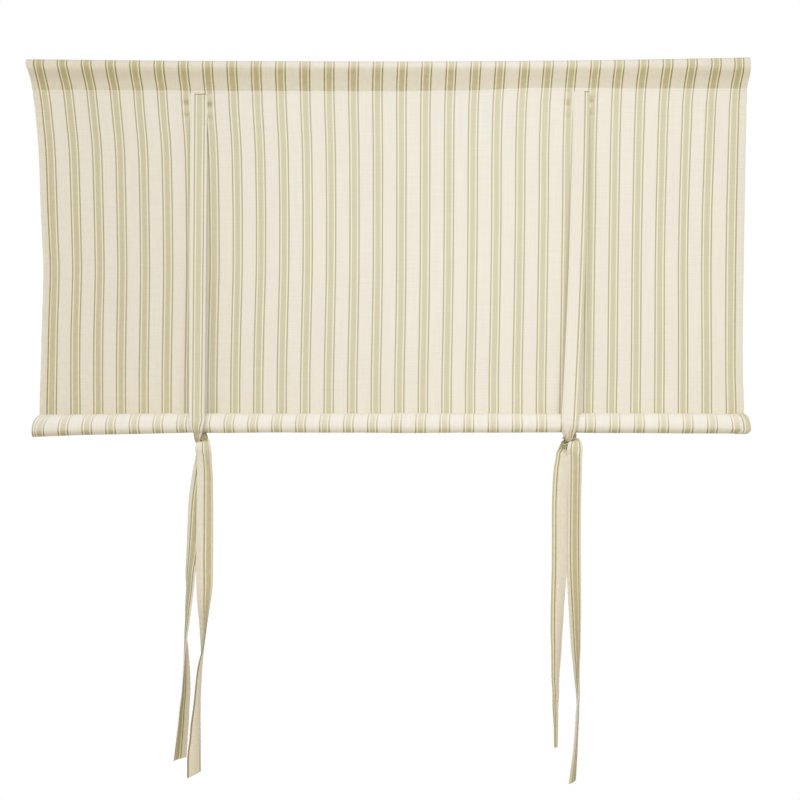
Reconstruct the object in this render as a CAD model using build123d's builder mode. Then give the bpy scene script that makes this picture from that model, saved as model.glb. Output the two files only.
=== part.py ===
# A tie-up roll blind of striped cotton: it hangs on a rod in a sewn pocket, its foot is rolled up
# on a dowel, and two pairs of cloth ties hold the roll.
# The origin is the middle of the rod's axis. X runs along the rod to the right, Y runs from the
# room towards the window and Z runs up. All sizes are in millimetres.

import os
from math import acos, atan2, cos, hypot, pi, radians, sin

from build123d import *

os.makedirs("parts", exist_ok=True)

# The cloth
blind_width = 1200.0
cloth_thickness = 0.6
drop = 589.0  # from the rod's axis down to the roll's
side_hem_width = 15.0
hem_layers = 2  # turned layers that a hem adds to the cloth
cut_overrun = 20.0

# The rod and its pocket
rod_diameter = 20.0
rod_wall = 1.0
rod_recess = 5.0  # how far each end of the rod lies inside the pocket
rod_edge = 0.3
pocket_clearance = 0.3
pocket_height = 48.5  # from the top of the pocket to its seam
seam_allowance = 6.0  # turned edge of the pocket below its seam

# The drawn-in sides: how far each edge stands in from the full width
left_shoulder = 11.0
left_chest = 22.0
left_waist = 29.0
left_foot = 22.0
right_shoulder = 6.0
right_chest = 10.5
right_waist = 13.5
right_foot = 12.0
chest_share = 0.22  # of the way from the seam to the roll
waist_share = 0.62

# The roll and its dowel
left_roll_end = 13.0  # how far the roll's ends stand in from the full width
right_roll_end = 6.0
dowel_diameter = 18.0
dowel_recess = 12.0  # how far each end of the dowel lies inside the roll
dowel_edge = 1.0
dowel_clearance = 0.3
turn_gap = 0.33  # air between the turns
half_turns = 15

# The ties
tie_width = 27.5
tie_thickness = 1.2
tie_clearance = 0.4  # between a tie and the roll or the cloth behind it
tie_seat = 10.0  # sewn length at the top of a tie
tie_spacing = 633.0  # between the two pairs, at the top
left_lean = 3.0  # how far a knot lies to the right of its pair's top
right_lean = -20.0
front_strap_lean = 1.8  # and the front strap on the roll, to the right of its knot
back_strap_lean = 7.5
wrap_steps = 5

# The half knots
knot_drop = 12.0  # from the roll's underside to the middle of the knot
neck_thickness = 2.2
knot_radius = 5.2  # of the back tie's turn around the front tie
back_tail_out = 10.0  # how far a back tie's tail hangs in front of the knot's middle
front_tail_in = 3.0  # and a front tie's tail behind it
left_front_tail = 527.0
left_back_tail = 550.0
right_front_tail = 507.0
right_back_tail = 562.0

# Where the ties leave the roll, in degrees from its back, and how far they are gathered there
front_leave_degrees = 222
front_gather_share = 0.62
back_leave_degrees = -72
back_gather_share = 0.5

# The front tie's neck: the height above the knot's middle as a share of the knot's drop, the distance
# behind it as a share of the turn's radius, and the width as a share of the tie's
front_neck_shares = (
    (0.95, -1.35, 0.44),
    (0.6, -0.7, 0.3),
    (0.25, -0.16, 0.21),
    (-0.25, 0, 0.2),
    (-0.95, 0.15, 0.3),
)

# The back tie's turn around the front tie, from behind it over the right and the front, round once and
# out over the top: degrees from the front over the left, the height above the knot's middle as a
# share of the knot's drop, the distance out as a share of the turn's radius, the width as a share of
# the tie's, and the degrees by which the width leans from the right over the top to the left
back_turn_shares = (
    (222, 0.55, 2.2, 0.32, 45),
    (258, 0.08, 1.88, 0.25, 80),
    (300, -0.28, 1.5, 0.22, 90),
    (345, -0.42, 1.2, 0.22, 90),
    (390, -0.45, 1.04, 0.22, 90),
    (435, -0.36, 1.0, 0.22, 90),
    (480, -0.15, 1.0, 0.22, 90),
    (525, 0.12, 1.0, 0.22, 92),
    (565, 0.36, 1.05, 0.22, 105),
    (605, 0.58, 1.3, 0.23, 128),
    (645, 0.64, 1.7, 0.25, 158),
    (672, 0.42, 2.2, 0.3, 172),
    (686, -0.1, 2.56, 0.42, 180),
)

# The tails: the share of the length, the drift sideways as a share of the tie's width,
# and the twist in degrees
left_front_tail_shares = (
    (0.06, 0.05, 36), (0.14, -0.02, 40), (0.25, -0.23, 46), (0.38, -0.36, 55), (0.5, -0.55, 71),
    (0.62, -0.71, 90), (0.75, -0.69, 110), (0.88, -0.85, 120), (1.0, -1.09, 129),
)
left_back_tail_shares = (
    (0.05, 0.33, 20), (0.18, 0.39, 22), (0.3, 0.38, 16), (0.42, 0.4, 28), (0.5, 0.41, 50),
    (0.6, 0.35, 74), (0.7, 0.16, 98), (0.8, -0.01, 112), (0.9, -0.1, 125), (1.0, -0.21, 142),
)
right_front_tail_shares = (
    (0.06, -0.33, 44), (0.15, -0.49, 38), (0.28, -0.51, 36), (0.4, -0.55, 38), (0.52, -0.61, 48),
    (0.65, -0.71, 58), (0.78, -0.74, 69), (0.9, -0.76, 77), (1.0, -0.79, 83),
)
right_back_tail_shares = (
    (0.05, 0.37, 30), (0.18, 0.4, 40), (0.3, 0.37, 42), (0.42, 0.36, 41), (0.5, 0.42, 50),
    (0.6, 0.5, 65), (0.72, 0.57, 86), (0.82, 0.51, 98), (0.91, 0.41, 107), (1.0, 0.22, 119),
)

# Sewing thread
thread_width = 0.6
thread_height = 0.3
thread_inset = 2.0  # inside the edge that it holds down
thread_gap = 0.05
bar_tack_width = 22.0
bar_tack_height = 2.5

# Worked out from the sizes above
half_width = blind_width / 2
rod_radius = rod_diameter / 2
half_cloth = cloth_thickness / 2
pocket_inner = rod_radius + pocket_clearance
pocket_outer = pocket_inner + cloth_thickness
seam_z = pocket_outer - pocket_height
allowance_z = seam_z - seam_allowance
hem_thickness = hem_layers * cloth_thickness
turn_pitch = cloth_thickness + turn_gap
dowel_radius = dowel_diameter / 2
inner_turn = dowel_radius + dowel_clearance + half_cloth
outer_turn = inner_turn + (half_turns - 1) * turn_pitch / 2
roll_radius = outer_turn + half_cloth
roll_y = -outer_turn
roll_z = -drop
roll_top_z = roll_z + roll_radius
below_roll_z = roll_z - roll_radius - cut_overrun
chest_z = seam_z + chest_share * (roll_top_z - seam_z)
waist_z = seam_z + waist_share * (roll_top_z - seam_z)
tie_z = allowance_z
wrap_radius = roll_radius + tie_clearance + tie_thickness / 2
front_tie_y = -half_cloth - tie_thickness / 2
back_tie_y = half_cloth + tie_thickness / 2
knot_y = roll_y - neck_thickness
knot_z = roll_z - roll_radius - knot_drop


def turn(index):
    """The centre's place along Y and the middle radius of one half turn of the roll.

    Even half turns go under the roll from the back to the front, odd ones over it."""
    centre = roll_y - (turn_pitch / 2 if index % 2 else 0)
    return centre, outer_turn - index * turn_pitch / 2


def turn_arc(index, outward):
    """One half turn of the roll, at a distance outward from the middle of the cloth."""
    centre, radius = turn(index)
    radius += outward
    way = 1 if index % 2 else -1
    back, front = (centre + radius, roll_z), (centre - radius, roll_z)
    return ThreePointArc(back, (centre, roll_z + way * radius), front)


def front_arc(outward):
    """The front quarter of the roll's outermost upper half turn, from the front to the top."""
    centre, radius = turn(1)
    radius += outward
    front, top = (centre - radius, roll_z), (centre, roll_z + radius)
    return RadiusArc(front, top, radius)


def side_points(edge, insets, inward=0):
    """The points of a drawn-in side, from the rod to the roll; edge is -1 at the left, 1 at the right."""
    heights = (0, seam_z, chest_z, waist_z, roll_top_z)
    return [(edge * (half_width - inset - inward), height) for inset, height in zip(insets, heights)]


sides = {
    "left": (-1, left_roll_end, (0, left_shoulder, left_chest, left_waist, left_foot)),
    "right": (1, right_roll_end, (0, right_shoulder, right_chest, right_waist, right_foot)),
}


# The cloth: pocket, hanging panel, hems and roll, all one cut
with BuildPart() as blind_cloth:
    with BuildSketch(Plane.YZ):
        with BuildSketch(mode=Mode.PRIVATE) as pocket:
            Circle(pocket_outer)
            with Locations((half_cloth, seam_z)):
                Rectangle(2 * cloth_thickness, cloth_thickness)
            make_hull()
            offset(amount=-cloth_thickness, mode=Mode.SUBTRACT)
        add(pocket.sketch)
        with Locations((half_cloth, (seam_z + allowance_z) / 2)):
            Rectangle(2 * cloth_thickness, seam_allowance)
        with Locations((0, (seam_z + roll_z) / 2)):
            Rectangle(cloth_thickness, seam_z - roll_z)
        with BuildLine():
            for index in range(half_turns):
                turn_arc(index, half_cloth)
                turn_arc(index, -half_cloth)
            Line((-half_cloth, roll_z), (half_cloth, roll_z))
            last_centre, last_radius = turn(half_turns - 1)
            last_end = last_centre + (1 if (half_turns - 1) % 2 else -1) * last_radius
            Line((last_end - half_cloth, roll_z), (last_end + half_cloth, roll_z))
        make_face()
    extrude(amount=half_width, both=True)
    for edge, roll_end, insets in sides.values():
        beyond = edge * (half_width + cut_overrun)
        roll_edge = half_width - roll_end
        # the side hem on the back of the hanging panel
        with BuildSketch(Plane.XZ.offset(-half_cloth)):
            with BuildLine():
                inner = side_points(edge, insets, side_hem_width)
                Spline(inner)
                Polyline(inner[-1], (edge * (roll_edge - side_hem_width), roll_z), (beyond, roll_z),
                         (beyond, 0), inner[0])
            make_face()
            with Locations((0, (allowance_z + roll_z) / 2)):
                Rectangle(2 * (half_width + cut_overrun), allowance_z - roll_z, mode=Mode.INTERSECT)
        extrude(amount=-hem_thickness)
        # the same hem where it goes under the roll and up its front
        with BuildSketch(Plane.YZ.offset(edge * (roll_edge - side_hem_width / 2))):
            with BuildLine():
                for outward in (half_cloth, half_cloth + hem_thickness):
                    turn_arc(0, outward)
                    front_arc(outward)
                Line((half_cloth, roll_z), (half_cloth + hem_thickness, roll_z))
                front_centre, front_radius = turn(1)
                hem_end_z = roll_z + front_radius + half_cloth
                Line((front_centre, hem_end_z), (front_centre, hem_end_z + hem_thickness))
            make_face()
        extrude(amount=side_hem_width / 2, both=True)
        # the drawn-in edge
        with BuildSketch(Plane.XZ):
            with BuildLine():
                outer = side_points(edge, insets)
                Spline(outer)
                Polyline(outer[-1], (edge * roll_edge, roll_z), (edge * roll_edge, below_roll_z),
                         (beyond, below_roll_z), (beyond, 0), outer[0])
            make_face()
        extrude(amount=pocket_outer + cut_overrun, both=True, mode=Mode.SUBTRACT)
blind_cloth.part.label = "blind_cloth"
export_step(blind_cloth.part, "parts/blind_cloth.step")


# The rod that the pocket hangs on
with BuildPart() as head_rod:
    with BuildSketch(Plane.YZ):
        Circle(rod_radius)
        Circle(rod_radius - rod_wall, mode=Mode.SUBTRACT)
    extrude(amount=half_width - rod_recess, both=True)
    chamfer(head_rod.edges().filter_by(GeomType.CIRCLE), rod_edge)
head_rod.part.label = "head_rod"
export_step(head_rod.part, "parts/head_rod.step")


# The dowel inside the roll
with BuildPart() as bottom_dowel:
    dowel_left = left_roll_end + dowel_recess - half_width
    dowel_right = half_width - right_roll_end - dowel_recess
    with BuildSketch(Plane.YZ.offset(dowel_left)):
        with Locations((turn(half_turns - 1)[0], roll_z)):
            Circle(dowel_radius)
    extrude(amount=dowel_right - dowel_left)
    chamfer(bottom_dowel.edges().filter_by(GeomType.CIRCLE), dowel_edge)
bottom_dowel.part.label = "bottom_dowel"
export_step(bottom_dowel.part, "parts/bottom_dowel.step")


# The ties: each is a flat sewn strip, lofted through stations along its path
def on_roll(x, degrees):
    """A place in the middle of a tie that lies on the roll; 0 degrees is at the back, 270 underneath."""
    angle = radians(degrees)
    return Vector(x, roll_y + wrap_radius * cos(angle), roll_z + wrap_radius * sin(angle))


def between(start, end, share):
    """A value at a share of the way from start to end."""
    return start + (end - start) * share


def front_path(top_x, knot_x):
    """Stations of a front tie down to its tail: place, width direction, width and thickness."""
    strap_x = knot_x + front_strap_lean
    seat_z = tie_z - tie_seat
    slope = atan2(seat_z - roll_z, front_tie_y - roll_y)
    touch = slope + acos(wrap_radius / hypot(seat_z - roll_z, front_tie_y - roll_y))
    touch_degrees = 180 * touch / pi
    across = Vector(1, 0, 0)
    path = [
        (Vector(top_x, front_tie_y, tie_z), across, tie_width, tie_thickness),
        (Vector(top_x, front_tie_y, seat_z), across, tie_width, tie_thickness),
    ]
    for step in range(wrap_steps):
        share = step / (wrap_steps - 1)
        width = between(1, front_gather_share, share * share) * tie_width
        place = on_roll(strap_x, between(touch_degrees, front_leave_degrees, share))
        path.append((place, across, width, tie_thickness))
    for rise_share, in_share, width_share in front_neck_shares:
        place = Vector(knot_x, knot_y + in_share * knot_radius, knot_z + rise_share * knot_drop)
        path.append((place, across, width_share * tie_width, neck_thickness))
    return path


def back_path(top_x, knot_x):
    """Stations of a back tie down to its tail."""
    strap_x = knot_x + back_strap_lean
    seat_z = tie_z - tie_seat
    across = Vector(1, 0, 0)
    path = [
        (Vector(top_x, back_tie_y, tie_z), across, tie_width, tie_thickness),
        (Vector(top_x, back_tie_y, seat_z), across, tie_width, tie_thickness),
    ]
    for step in range(wrap_steps):
        share = step / (wrap_steps - 1)
        width = between(1, back_gather_share, share * share) * tie_width
        place = on_roll(strap_x, between(0, back_leave_degrees, share))
        path.append((place, across, width, tie_thickness))
    for degrees, rise_share, out_share, width_share, lean in back_turn_shares:
        angle = radians(degrees)
        place = Vector(
            knot_x - out_share * knot_radius * sin(angle),
            knot_y - out_share * knot_radius * cos(angle),
            knot_z + rise_share * knot_drop,
        )
        direction = Vector(cos(radians(lean)), 0, sin(radians(lean)))
        path.append((place, direction, width_share * tie_width, neck_thickness))
    return path


def tail_path(knot_x, tail_y, length, shares, way):
    """Stations of a hanging tail, turned by its twist; way is -1 where the turn has brought it over."""
    path = []
    for share, drift, twist in shares:
        place = Vector(knot_x + drift * tie_width, tail_y, knot_z - share * length)
        direction = Vector(cos(radians(twist)), sin(radians(twist)), 0) * way
        path.append((place, direction, tie_width, tie_thickness))
    return path


def tie(label, path):
    """One tie, lofted through its stations and written out."""
    with BuildPart() as strip:
        for index, (place, direction, width, thickness) in enumerate(path):
            before = path[max(index - 1, 0)][0]
            after = path[min(index + 1, len(path) - 1)][0]
            with BuildSketch(Plane(origin=place, x_dir=direction, z_dir=after - before)):
                Rectangle(width, thickness)
        loft(ruled=True)
    strip.part.label = label
    export_step(strip.part, f"parts/{label}.step")


pairs = {
    "left": (-tie_spacing / 2, left_lean, left_front_tail, left_front_tail_shares,
             left_back_tail, left_back_tail_shares),
    "right": (tie_spacing / 2, right_lean, right_front_tail, right_front_tail_shares,
              right_back_tail, right_back_tail_shares),
}
for side, (top_x, lean, front_tail, front_shares, back_tail, back_shares) in pairs.items():
    knot_x = top_x + lean
    front_hang = tail_path(knot_x, knot_y + front_tail_in, front_tail, front_shares, 1)
    back_hang = tail_path(knot_x, knot_y - back_tail_out, back_tail, back_shares, -1)
    tie(f"{side}_front_tie", front_path(top_x, knot_x) + front_hang)
    tie(f"{side}_back_tie", back_path(top_x, knot_x) + back_hang)
    tack_out = tie_thickness / 2 + thread_gap
    for face, tack_y in (("front", front_tie_y - tack_out), ("back", back_tie_y + tack_out)):
        with BuildPart() as bar_tack:
            with Locations((top_x, tack_y, tie_z - thread_inset)):
                seated = (Align.CENTER, Align.MAX if face == "front" else Align.MIN, Align.CENTER)
                Box(bar_tack_width, thread_height, bar_tack_height, align=seated)
        bar_tack.part.label = f"{side}_{face}_bar_tack"
        export_step(bar_tack.part, f"parts/{side}_{face}_bar_tack.step")


# The thread of the pocket seam, on the front of the cloth
with BuildPart() as pocket_seam_thread:
    with Locations(((left_shoulder - right_shoulder) / 2, -half_cloth, seam_z - thread_inset)):
        seam_length = blind_width - left_shoulder - right_shoulder - 2 * thread_inset
        Box(seam_length, thread_height, thread_width, align=(Align.CENTER, Align.MAX, Align.CENTER))
pocket_seam_thread.part.label = "pocket_seam_thread"
export_step(pocket_seam_thread.part, "parts/pocket_seam_thread.step")


# The thread of the side hems, on the front of the cloth
for side, (edge, _, insets) in sides.items():
    with BuildPart() as hem_thread:
        with BuildSketch(Plane.XZ.offset(half_cloth)):
            with BuildLine():
                thread_middle = side_hem_width - thread_inset
                inner = side_points(edge, insets, thread_middle + thread_width / 2)
                outer = side_points(edge, insets, thread_middle - thread_width / 2)
                Spline(inner)
                Spline(outer)
                Line(inner[0], outer[0])
                Line(inner[-1], outer[-1])
            make_face()
            with Locations((0, (allowance_z + roll_top_z) / 2)):
                Rectangle(blind_width, allowance_z - roll_top_z, mode=Mode.INTERSECT)
        extrude(amount=thread_height)
    hem_thread.part.label = f"{side}_hem_thread"
    export_step(hem_thread.part, f"parts/{side}_hem_thread.step")
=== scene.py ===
import bpy
import math
import numpy as np
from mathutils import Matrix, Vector


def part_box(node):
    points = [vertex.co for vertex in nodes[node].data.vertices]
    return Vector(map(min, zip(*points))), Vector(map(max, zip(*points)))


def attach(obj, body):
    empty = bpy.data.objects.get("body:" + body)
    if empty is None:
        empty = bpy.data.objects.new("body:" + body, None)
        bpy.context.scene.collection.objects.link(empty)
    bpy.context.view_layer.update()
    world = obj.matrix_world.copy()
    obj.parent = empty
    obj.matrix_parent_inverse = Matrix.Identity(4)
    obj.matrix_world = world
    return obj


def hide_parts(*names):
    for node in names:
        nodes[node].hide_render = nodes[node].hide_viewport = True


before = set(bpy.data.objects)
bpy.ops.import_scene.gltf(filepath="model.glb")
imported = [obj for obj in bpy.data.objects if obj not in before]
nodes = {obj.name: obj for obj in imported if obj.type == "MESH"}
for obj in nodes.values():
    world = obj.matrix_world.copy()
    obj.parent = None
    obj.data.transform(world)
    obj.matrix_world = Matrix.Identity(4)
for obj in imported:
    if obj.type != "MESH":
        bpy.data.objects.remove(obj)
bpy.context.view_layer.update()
bpy.ops.object.select_all(action="DESELECT")


# The head rod: a thin-walled steel tube, enamelled white, pushed through the pocket.
# Only its two open ends show, so the finish is a satin enamel with bare steel at the cut.
def new_finish(name):
    """A new material, with the node tree and the shader that it is painted by."""
    finish = bpy.data.materials.new(name)
    finish.use_nodes = True
    return finish, finish.node_tree, finish.node_tree.nodes["Principled BSDF"]


def set_inputs(tree, node, inputs):
    """Gives each input of a node its plain value, or the output that feeds it."""
    for socket, value in inputs.items():
        if isinstance(value, bpy.types.NodeSocket):
            tree.links.new(value, node.inputs[socket])
        else:
            node.inputs[socket].default_value = value


def add_node(tree, kind, inputs, **settings):
    """Adds a node of one kind to a finish, with its settings and its inputs."""
    node = tree.nodes.new("ShaderNode" + kind)
    for setting, value in settings.items():
        setattr(node, setting, value)
    set_inputs(tree, node, inputs)
    return node


def reckon(tree, operation, *values):
    """The outcome of a Math node on plain values or outputs."""
    return add_node(tree, "Math", dict(enumerate(values)), operation=operation).outputs["Value"]


rod_paint, tree, shader = new_finish("rod_enamel")
white_enamel, bare_steel = (0.80, 0.80, 0.77, 1.0), (0.50, 0.49, 0.47, 1.0)
steel_from, steel_full = 0.5946, 0.5949  # along the rod from its middle
place = add_node(tree, "TexCoord", {}).outputs["Object"]
orange_peel = add_node(tree, "TexNoise", {"Vector": place, "Scale": 900.0, "Detail": 2.0})
axis = add_node(tree, "SeparateXYZ", {"Vector": place})
from_middle = reckon(tree, "ABSOLUTE", axis.outputs["X"])
cut_end = add_node(tree, "MapRange", {"Value": from_middle, "From Min": steel_from, "From Max": steel_full})
rod_colour = add_node(tree, "Mix", {
    "Factor": cut_end.outputs["Result"], "A": white_enamel, "B": bare_steel,
}, data_type="RGBA")
bump = add_node(tree, "Bump", {"Strength": 0.12, "Distance": 0.0002, "Height": orange_peel.outputs["Fac"]})
set_inputs(tree, shader, {
    "Base Color": rod_colour.outputs["Result"], "Metallic": cut_end.outputs["Result"],
    "Roughness": 0.38, "Normal": bump.outputs["Normal"],
})
nodes["head_rod"].data.materials.clear()
nodes["head_rod"].data.materials.append(rod_paint)


# The bottom dowel: a sanded softwood stick that the cloth is rolled up on.
# It shows at the two ends of the roll, so it has long grain and darker end rings.
dowel_wood, tree, shader = new_finish("dowel_wood")
place = add_node(tree, "TexCoord", {}).outputs["Object"]
stretch = add_node(
    tree, "Mapping", {"Vector": place, "Scale": (0.06, 1.0, 1.0), "Location": (0.0, 0.031, 0.584)})
rings = add_node(tree, "TexWave", {
    "Vector": stretch.outputs["Vector"], "Scale": 190.0, "Distortion": 2.2, "Detail": 2.0,
    "Detail Scale": 1.4,
}, wave_type="RINGS", rings_direction="X")
fibre = add_node(tree, "TexNoise", {"Vector": stretch.outputs["Vector"], "Scale": 1400.0})
wood_colour = add_node(tree, "ValToRGB", {"Fac": rings.outputs["Fac"]})
wood_colour.color_ramp.elements[0].color = (0.66, 0.47, 0.27, 1.0)
wood_colour.color_ramp.elements[1].color = (0.79, 0.62, 0.40, 1.0)
bump = add_node(tree, "Bump", {"Strength": 0.25, "Distance": 0.0003, "Height": fibre.outputs["Fac"]})
set_inputs(tree, shader, {
    "Base Color": wood_colour.outputs["Color"], "Roughness": 0.62, "Normal": bump.outputs["Normal"],
})
nodes["bottom_dowel"].data.materials.clear()
nodes["bottom_dowel"].data.materials.append(dowel_wood)


# The striped cotton: a plain weave, yarn-dyed in cream, sage and olive, alike on both faces.
# The UV map holds the flat cloth in metres, so stripes and threads follow every fold.
weave_group = bpy.data.node_groups.new("plain_weave", "ShaderNodeTree")
weave_group.interface.new_socket("Cloth", in_out="INPUT", socket_type="NodeSocketVector")
weave_group.interface.new_socket("Threads per metre", in_out="INPUT", socket_type="NodeSocketFloat")
weave_group.interface.new_socket("Height", in_out="OUTPUT", socket_type="NodeSocketFloat")
weave_group.interface.new_socket("Slub", in_out="OUTPUT", socket_type="NodeSocketFloat")
weave_in = weave_group.nodes.new("NodeGroupInput")
weave_out = weave_group.nodes.new("NodeGroupOutput")
flat = add_node(weave_group, "SeparateXYZ", {"Vector": weave_in.outputs["Cloth"]})
thread_count = weave_in.outputs["Threads per metre"]
threads = []
for thread_axis in ("X", "Y"):
    counted = reckon(weave_group, "MULTIPLY", flat.outputs[thread_axis], thread_count)
    threads.append(reckon(weave_group, "SINE", reckon(weave_group, "MULTIPLY", counted, math.pi)))
crossing = reckon(weave_group, "MULTIPLY", *threads)
slubs = []
for slub_scale in ((430.0, 9.0, 1.0), (16.0, 800.0, 1.0)):
    yarn_way = add_node(weave_group, "Mapping", {"Vector": weave_in.outputs["Cloth"], "Scale": slub_scale})
    slub = add_node(
        weave_group, "TexNoise", {"Vector": yarn_way.outputs["Vector"], "Scale": 1.0, "Detail": 2.0})
    slubs.append(slub.outputs["Fac"])
slub_mean = reckon(weave_group, "MULTIPLY", reckon(weave_group, "ADD", *slubs), 0.5)
relief = reckon(weave_group, "MULTIPLY_ADD", crossing, 0.5, slub_mean)
set_inputs(weave_group, weave_out, {"Slub": slub_mean, "Height": relief})

cotton, tree, shader = new_finish("striped_cotton")
cloth_map = add_node(tree, "UVMap", {}, uv_map="cloth").outputs["UV"]
weave = add_node(tree, "Group", {"Cloth": cloth_map, "Threads per metre": 1900.0}, node_tree=weave_group)
# one 40 mm repeat: a sage band between two pale yellow lines and two olive ones, then cream ground
half_repeat = 0.020
uneven_edge = 0.0009
across = add_node(tree, "SeparateXYZ", {"Vector": cloth_map})
uneven = reckon(tree, "MULTIPLY_ADD", weave.outputs["Slub"], uneven_edge, across.outputs["X"])
from_ground = reckon(tree, "PINGPONG", uneven, half_repeat)
# the UV's zero lies in the middle of the ground, so the band's middle is at the far end of the ramp
stripes = add_node(tree, "ValToRGB", {"Fac": reckon(tree, "DIVIDE", from_ground, half_repeat)})
ramp = stripes.color_ramp
ground_cream = (0.852, 0.808, 0.710, 1.0)
olive_line = (0.535, 0.488, 0.350, 1.0)
pale_yellow = (0.870, 0.830, 0.640, 1.0)
sage_band = (0.690, 0.648, 0.486, 1.0)
ramp.elements[0].position = 0.548
ramp.elements[0].color = ground_cream
ramp.elements[1].position = 0.566
ramp.elements[1].color = olive_line
line_stops = ((0.656, olive_line), (0.674, pale_yellow), (0.778, pale_yellow), (0.796, sage_band))
for position, colour in line_stops:
    stop = ramp.elements.new(position)
    stop.color = colour
# the painted shade mask: above zero it multiplies the stripes by themselves, randomly mottled, a painted
# shade for less daylight through the cloth; above one it mixes in a dark brown painted shadow; below zero a
# pale painted highlight
crease_shadow, highlight_cream = (0.115, 0.095, 0.062, 1.0), (0.880, 0.845, 0.755, 1.0)
shade_mask = add_node(tree, "Attribute", {}, attribute_name="painted_shade").outputs["Fac"]
shade_mottle = add_node(tree, "TexNoise", {"Vector": cloth_map, "Scale": 120.0, "Detail": 3.0})
mottled = add_node(tree, "MapRange", {
    "Value": shade_mottle.outputs["Fac"], "From Min": 0.3, "From Max": 0.7, "To Min": 0.84, "To Max": 1.16,
})
shade_mottled = reckon(tree, "MULTIPLY", shade_mask, mottled.outputs["Result"])
shaded_stripes = add_node(tree, "Mix", {
    "Factor": shade_mottled, "A": stripes.outputs["Color"], "B": stripes.outputs["Color"],
}, data_type="RGBA", blend_type="MULTIPLY")
# above one: a dark brown painted shadow in the creases
crease_shadow_share = add_node(tree, "MapRange", {"Value": shade_mask, "From Min": 1.0, "From Max": 2.0})
crease_shadowed = add_node(tree, "Mix", {
    "Factor": crease_shadow_share.outputs["Result"], "A": shaded_stripes.outputs["Result"], "B": crease_shadow,
}, data_type="RGBA")
# below zero: a painted highlight towards pale cream
highlight_share = add_node(tree, "Math", {0: shade_mask, 1: -1.0}, operation="MULTIPLY", use_clamp=True)
paler = add_node(tree, "Mix", {
    "Factor": highlight_share.outputs["Value"], "A": crease_shadowed.outputs["Result"], "B": highlight_cream,
}, data_type="RGBA")
yarn = add_node(tree, "MapRange", {
    "Value": weave.outputs["Slub"], "From Min": 0.3, "From Max": 0.7, "To Min": 0.94, "To Max": 1.04,
})
yarn_colour = add_node(tree, "Mix", {
    "Factor": 1.0, "A": paler.outputs["Result"], "B": yarn.outputs["Result"],
}, data_type="RGBA", blend_type="MULTIPLY")
bump = add_node(tree, "Bump", {"Strength": 0.35, "Distance": 0.00025, "Height": weave.outputs["Height"]})
set_inputs(tree, shader, {
    "Base Color": yarn_colour.outputs["Result"], "Roughness": 0.88, "Specular IOR Level": 0.25,
    "Sheen Weight": 0.12, "Sheen Roughness": 0.5, "Normal": bump.outputs["Normal"],
})


# The blind cloth: one cut, folded over into the rod pocket, hanging as a flat panel, hemmed at its
# sides and rolled up on the dowel with its reverse outwards. Rows run along the cloth from the
# pocket's turned edge to the dowel, columns across it.
cloth_half = 0.0003  # half its thickness
edge_past_rod = 0.005
wrap_gap = 0.0006  # from the rod or the dowel to the middle of the cloth around it
rod_low, rod_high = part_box("head_rod")
half_width = (rod_high[0] - rod_low[0]) / 2 + edge_past_rod
pocket_radius = (rod_high[2] - rod_low[2]) / 2 + wrap_gap
dowel_low, dowel_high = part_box("bottom_dowel")
roll_z = (dowel_low[2] + dowel_high[2]) / 2
inner_turn = (dowel_high[2] - dowel_low[2]) / 2 + wrap_gap
turn_pitch = 0.00093
half_turns = 15
outer_turn = inner_turn + (half_turns - 1) * turn_pitch / 2
seam_z, turned_edge_z = -0.0376, -0.0436
seam_y, turned_edge_y = 0.0008, 0.0009  # of the pocket's back layer, behind the panel
seam_touch = math.degrees(math.acos(pocket_radius / abs(seam_z)))
back_touch = math.radians(seam_touch - 90)
touch_y, touch_z = pocket_radius * math.cos(back_touch), pocket_radius * math.sin(back_touch)
# each row's mask is its painted shade
rows = []  # y, z, place in the roll from 0 outside to 1 inside, degrees around it, mask, hemmed
for z in np.linspace(turned_edge_z, seam_z, 4)[:-1]:
    rows.append((turned_edge_y, z, 0.0, None, 1.0, False))
for step in np.linspace(0, 1, 7)[:-1]:
    y, z = seam_y + (touch_y - seam_y) * step, seam_z + (touch_z - seam_z) * step
    rows.append((y, z, 0.0, None, 1.0, False))
# painted shade around the rod: lightest over its top, darker down the pocket's front
for angle in np.linspace(back_touch, math.pi - back_touch, 21)[:-1]:
    dim = np.interp(math.degrees(angle), [80, 110, 140, 180, 196], [0.5, 0.22, 0.27, 0.60, 0.82])
    rows.append((pocket_radius * math.cos(angle), pocket_radius * math.sin(angle), 0.0, None, dim, False))
# painted shade down the pocket's front as it slopes back to the seam
for step in np.linspace(0, 1, 9)[:-1]:
    dim = np.interp(step, [0.0, 0.12, 0.30, 0.55, 0.9], [0.84, 0.98, 1.0, 0.93, 0.82])
    rows.append((-touch_y * (1 - step), touch_z + (seam_z - touch_z) * step, 0.0, None, dim, False))
rows.append((0.0, seam_z + 0.0004, 0.0, None, dim, False))
pocket_rows = len(rows)
panel_heights = np.concatenate([
    np.linspace(seam_z, -0.110, 25)[:-1], np.linspace(-0.110, -0.55, 49)[:-1],
    np.linspace(-0.55, roll_z, 8)[:-1],
])
for z in panel_heights:
    rows.append((0.0, z, 0.0, None, 0.0, z < turned_edge_z))
panel_rows = len(rows)
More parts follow.
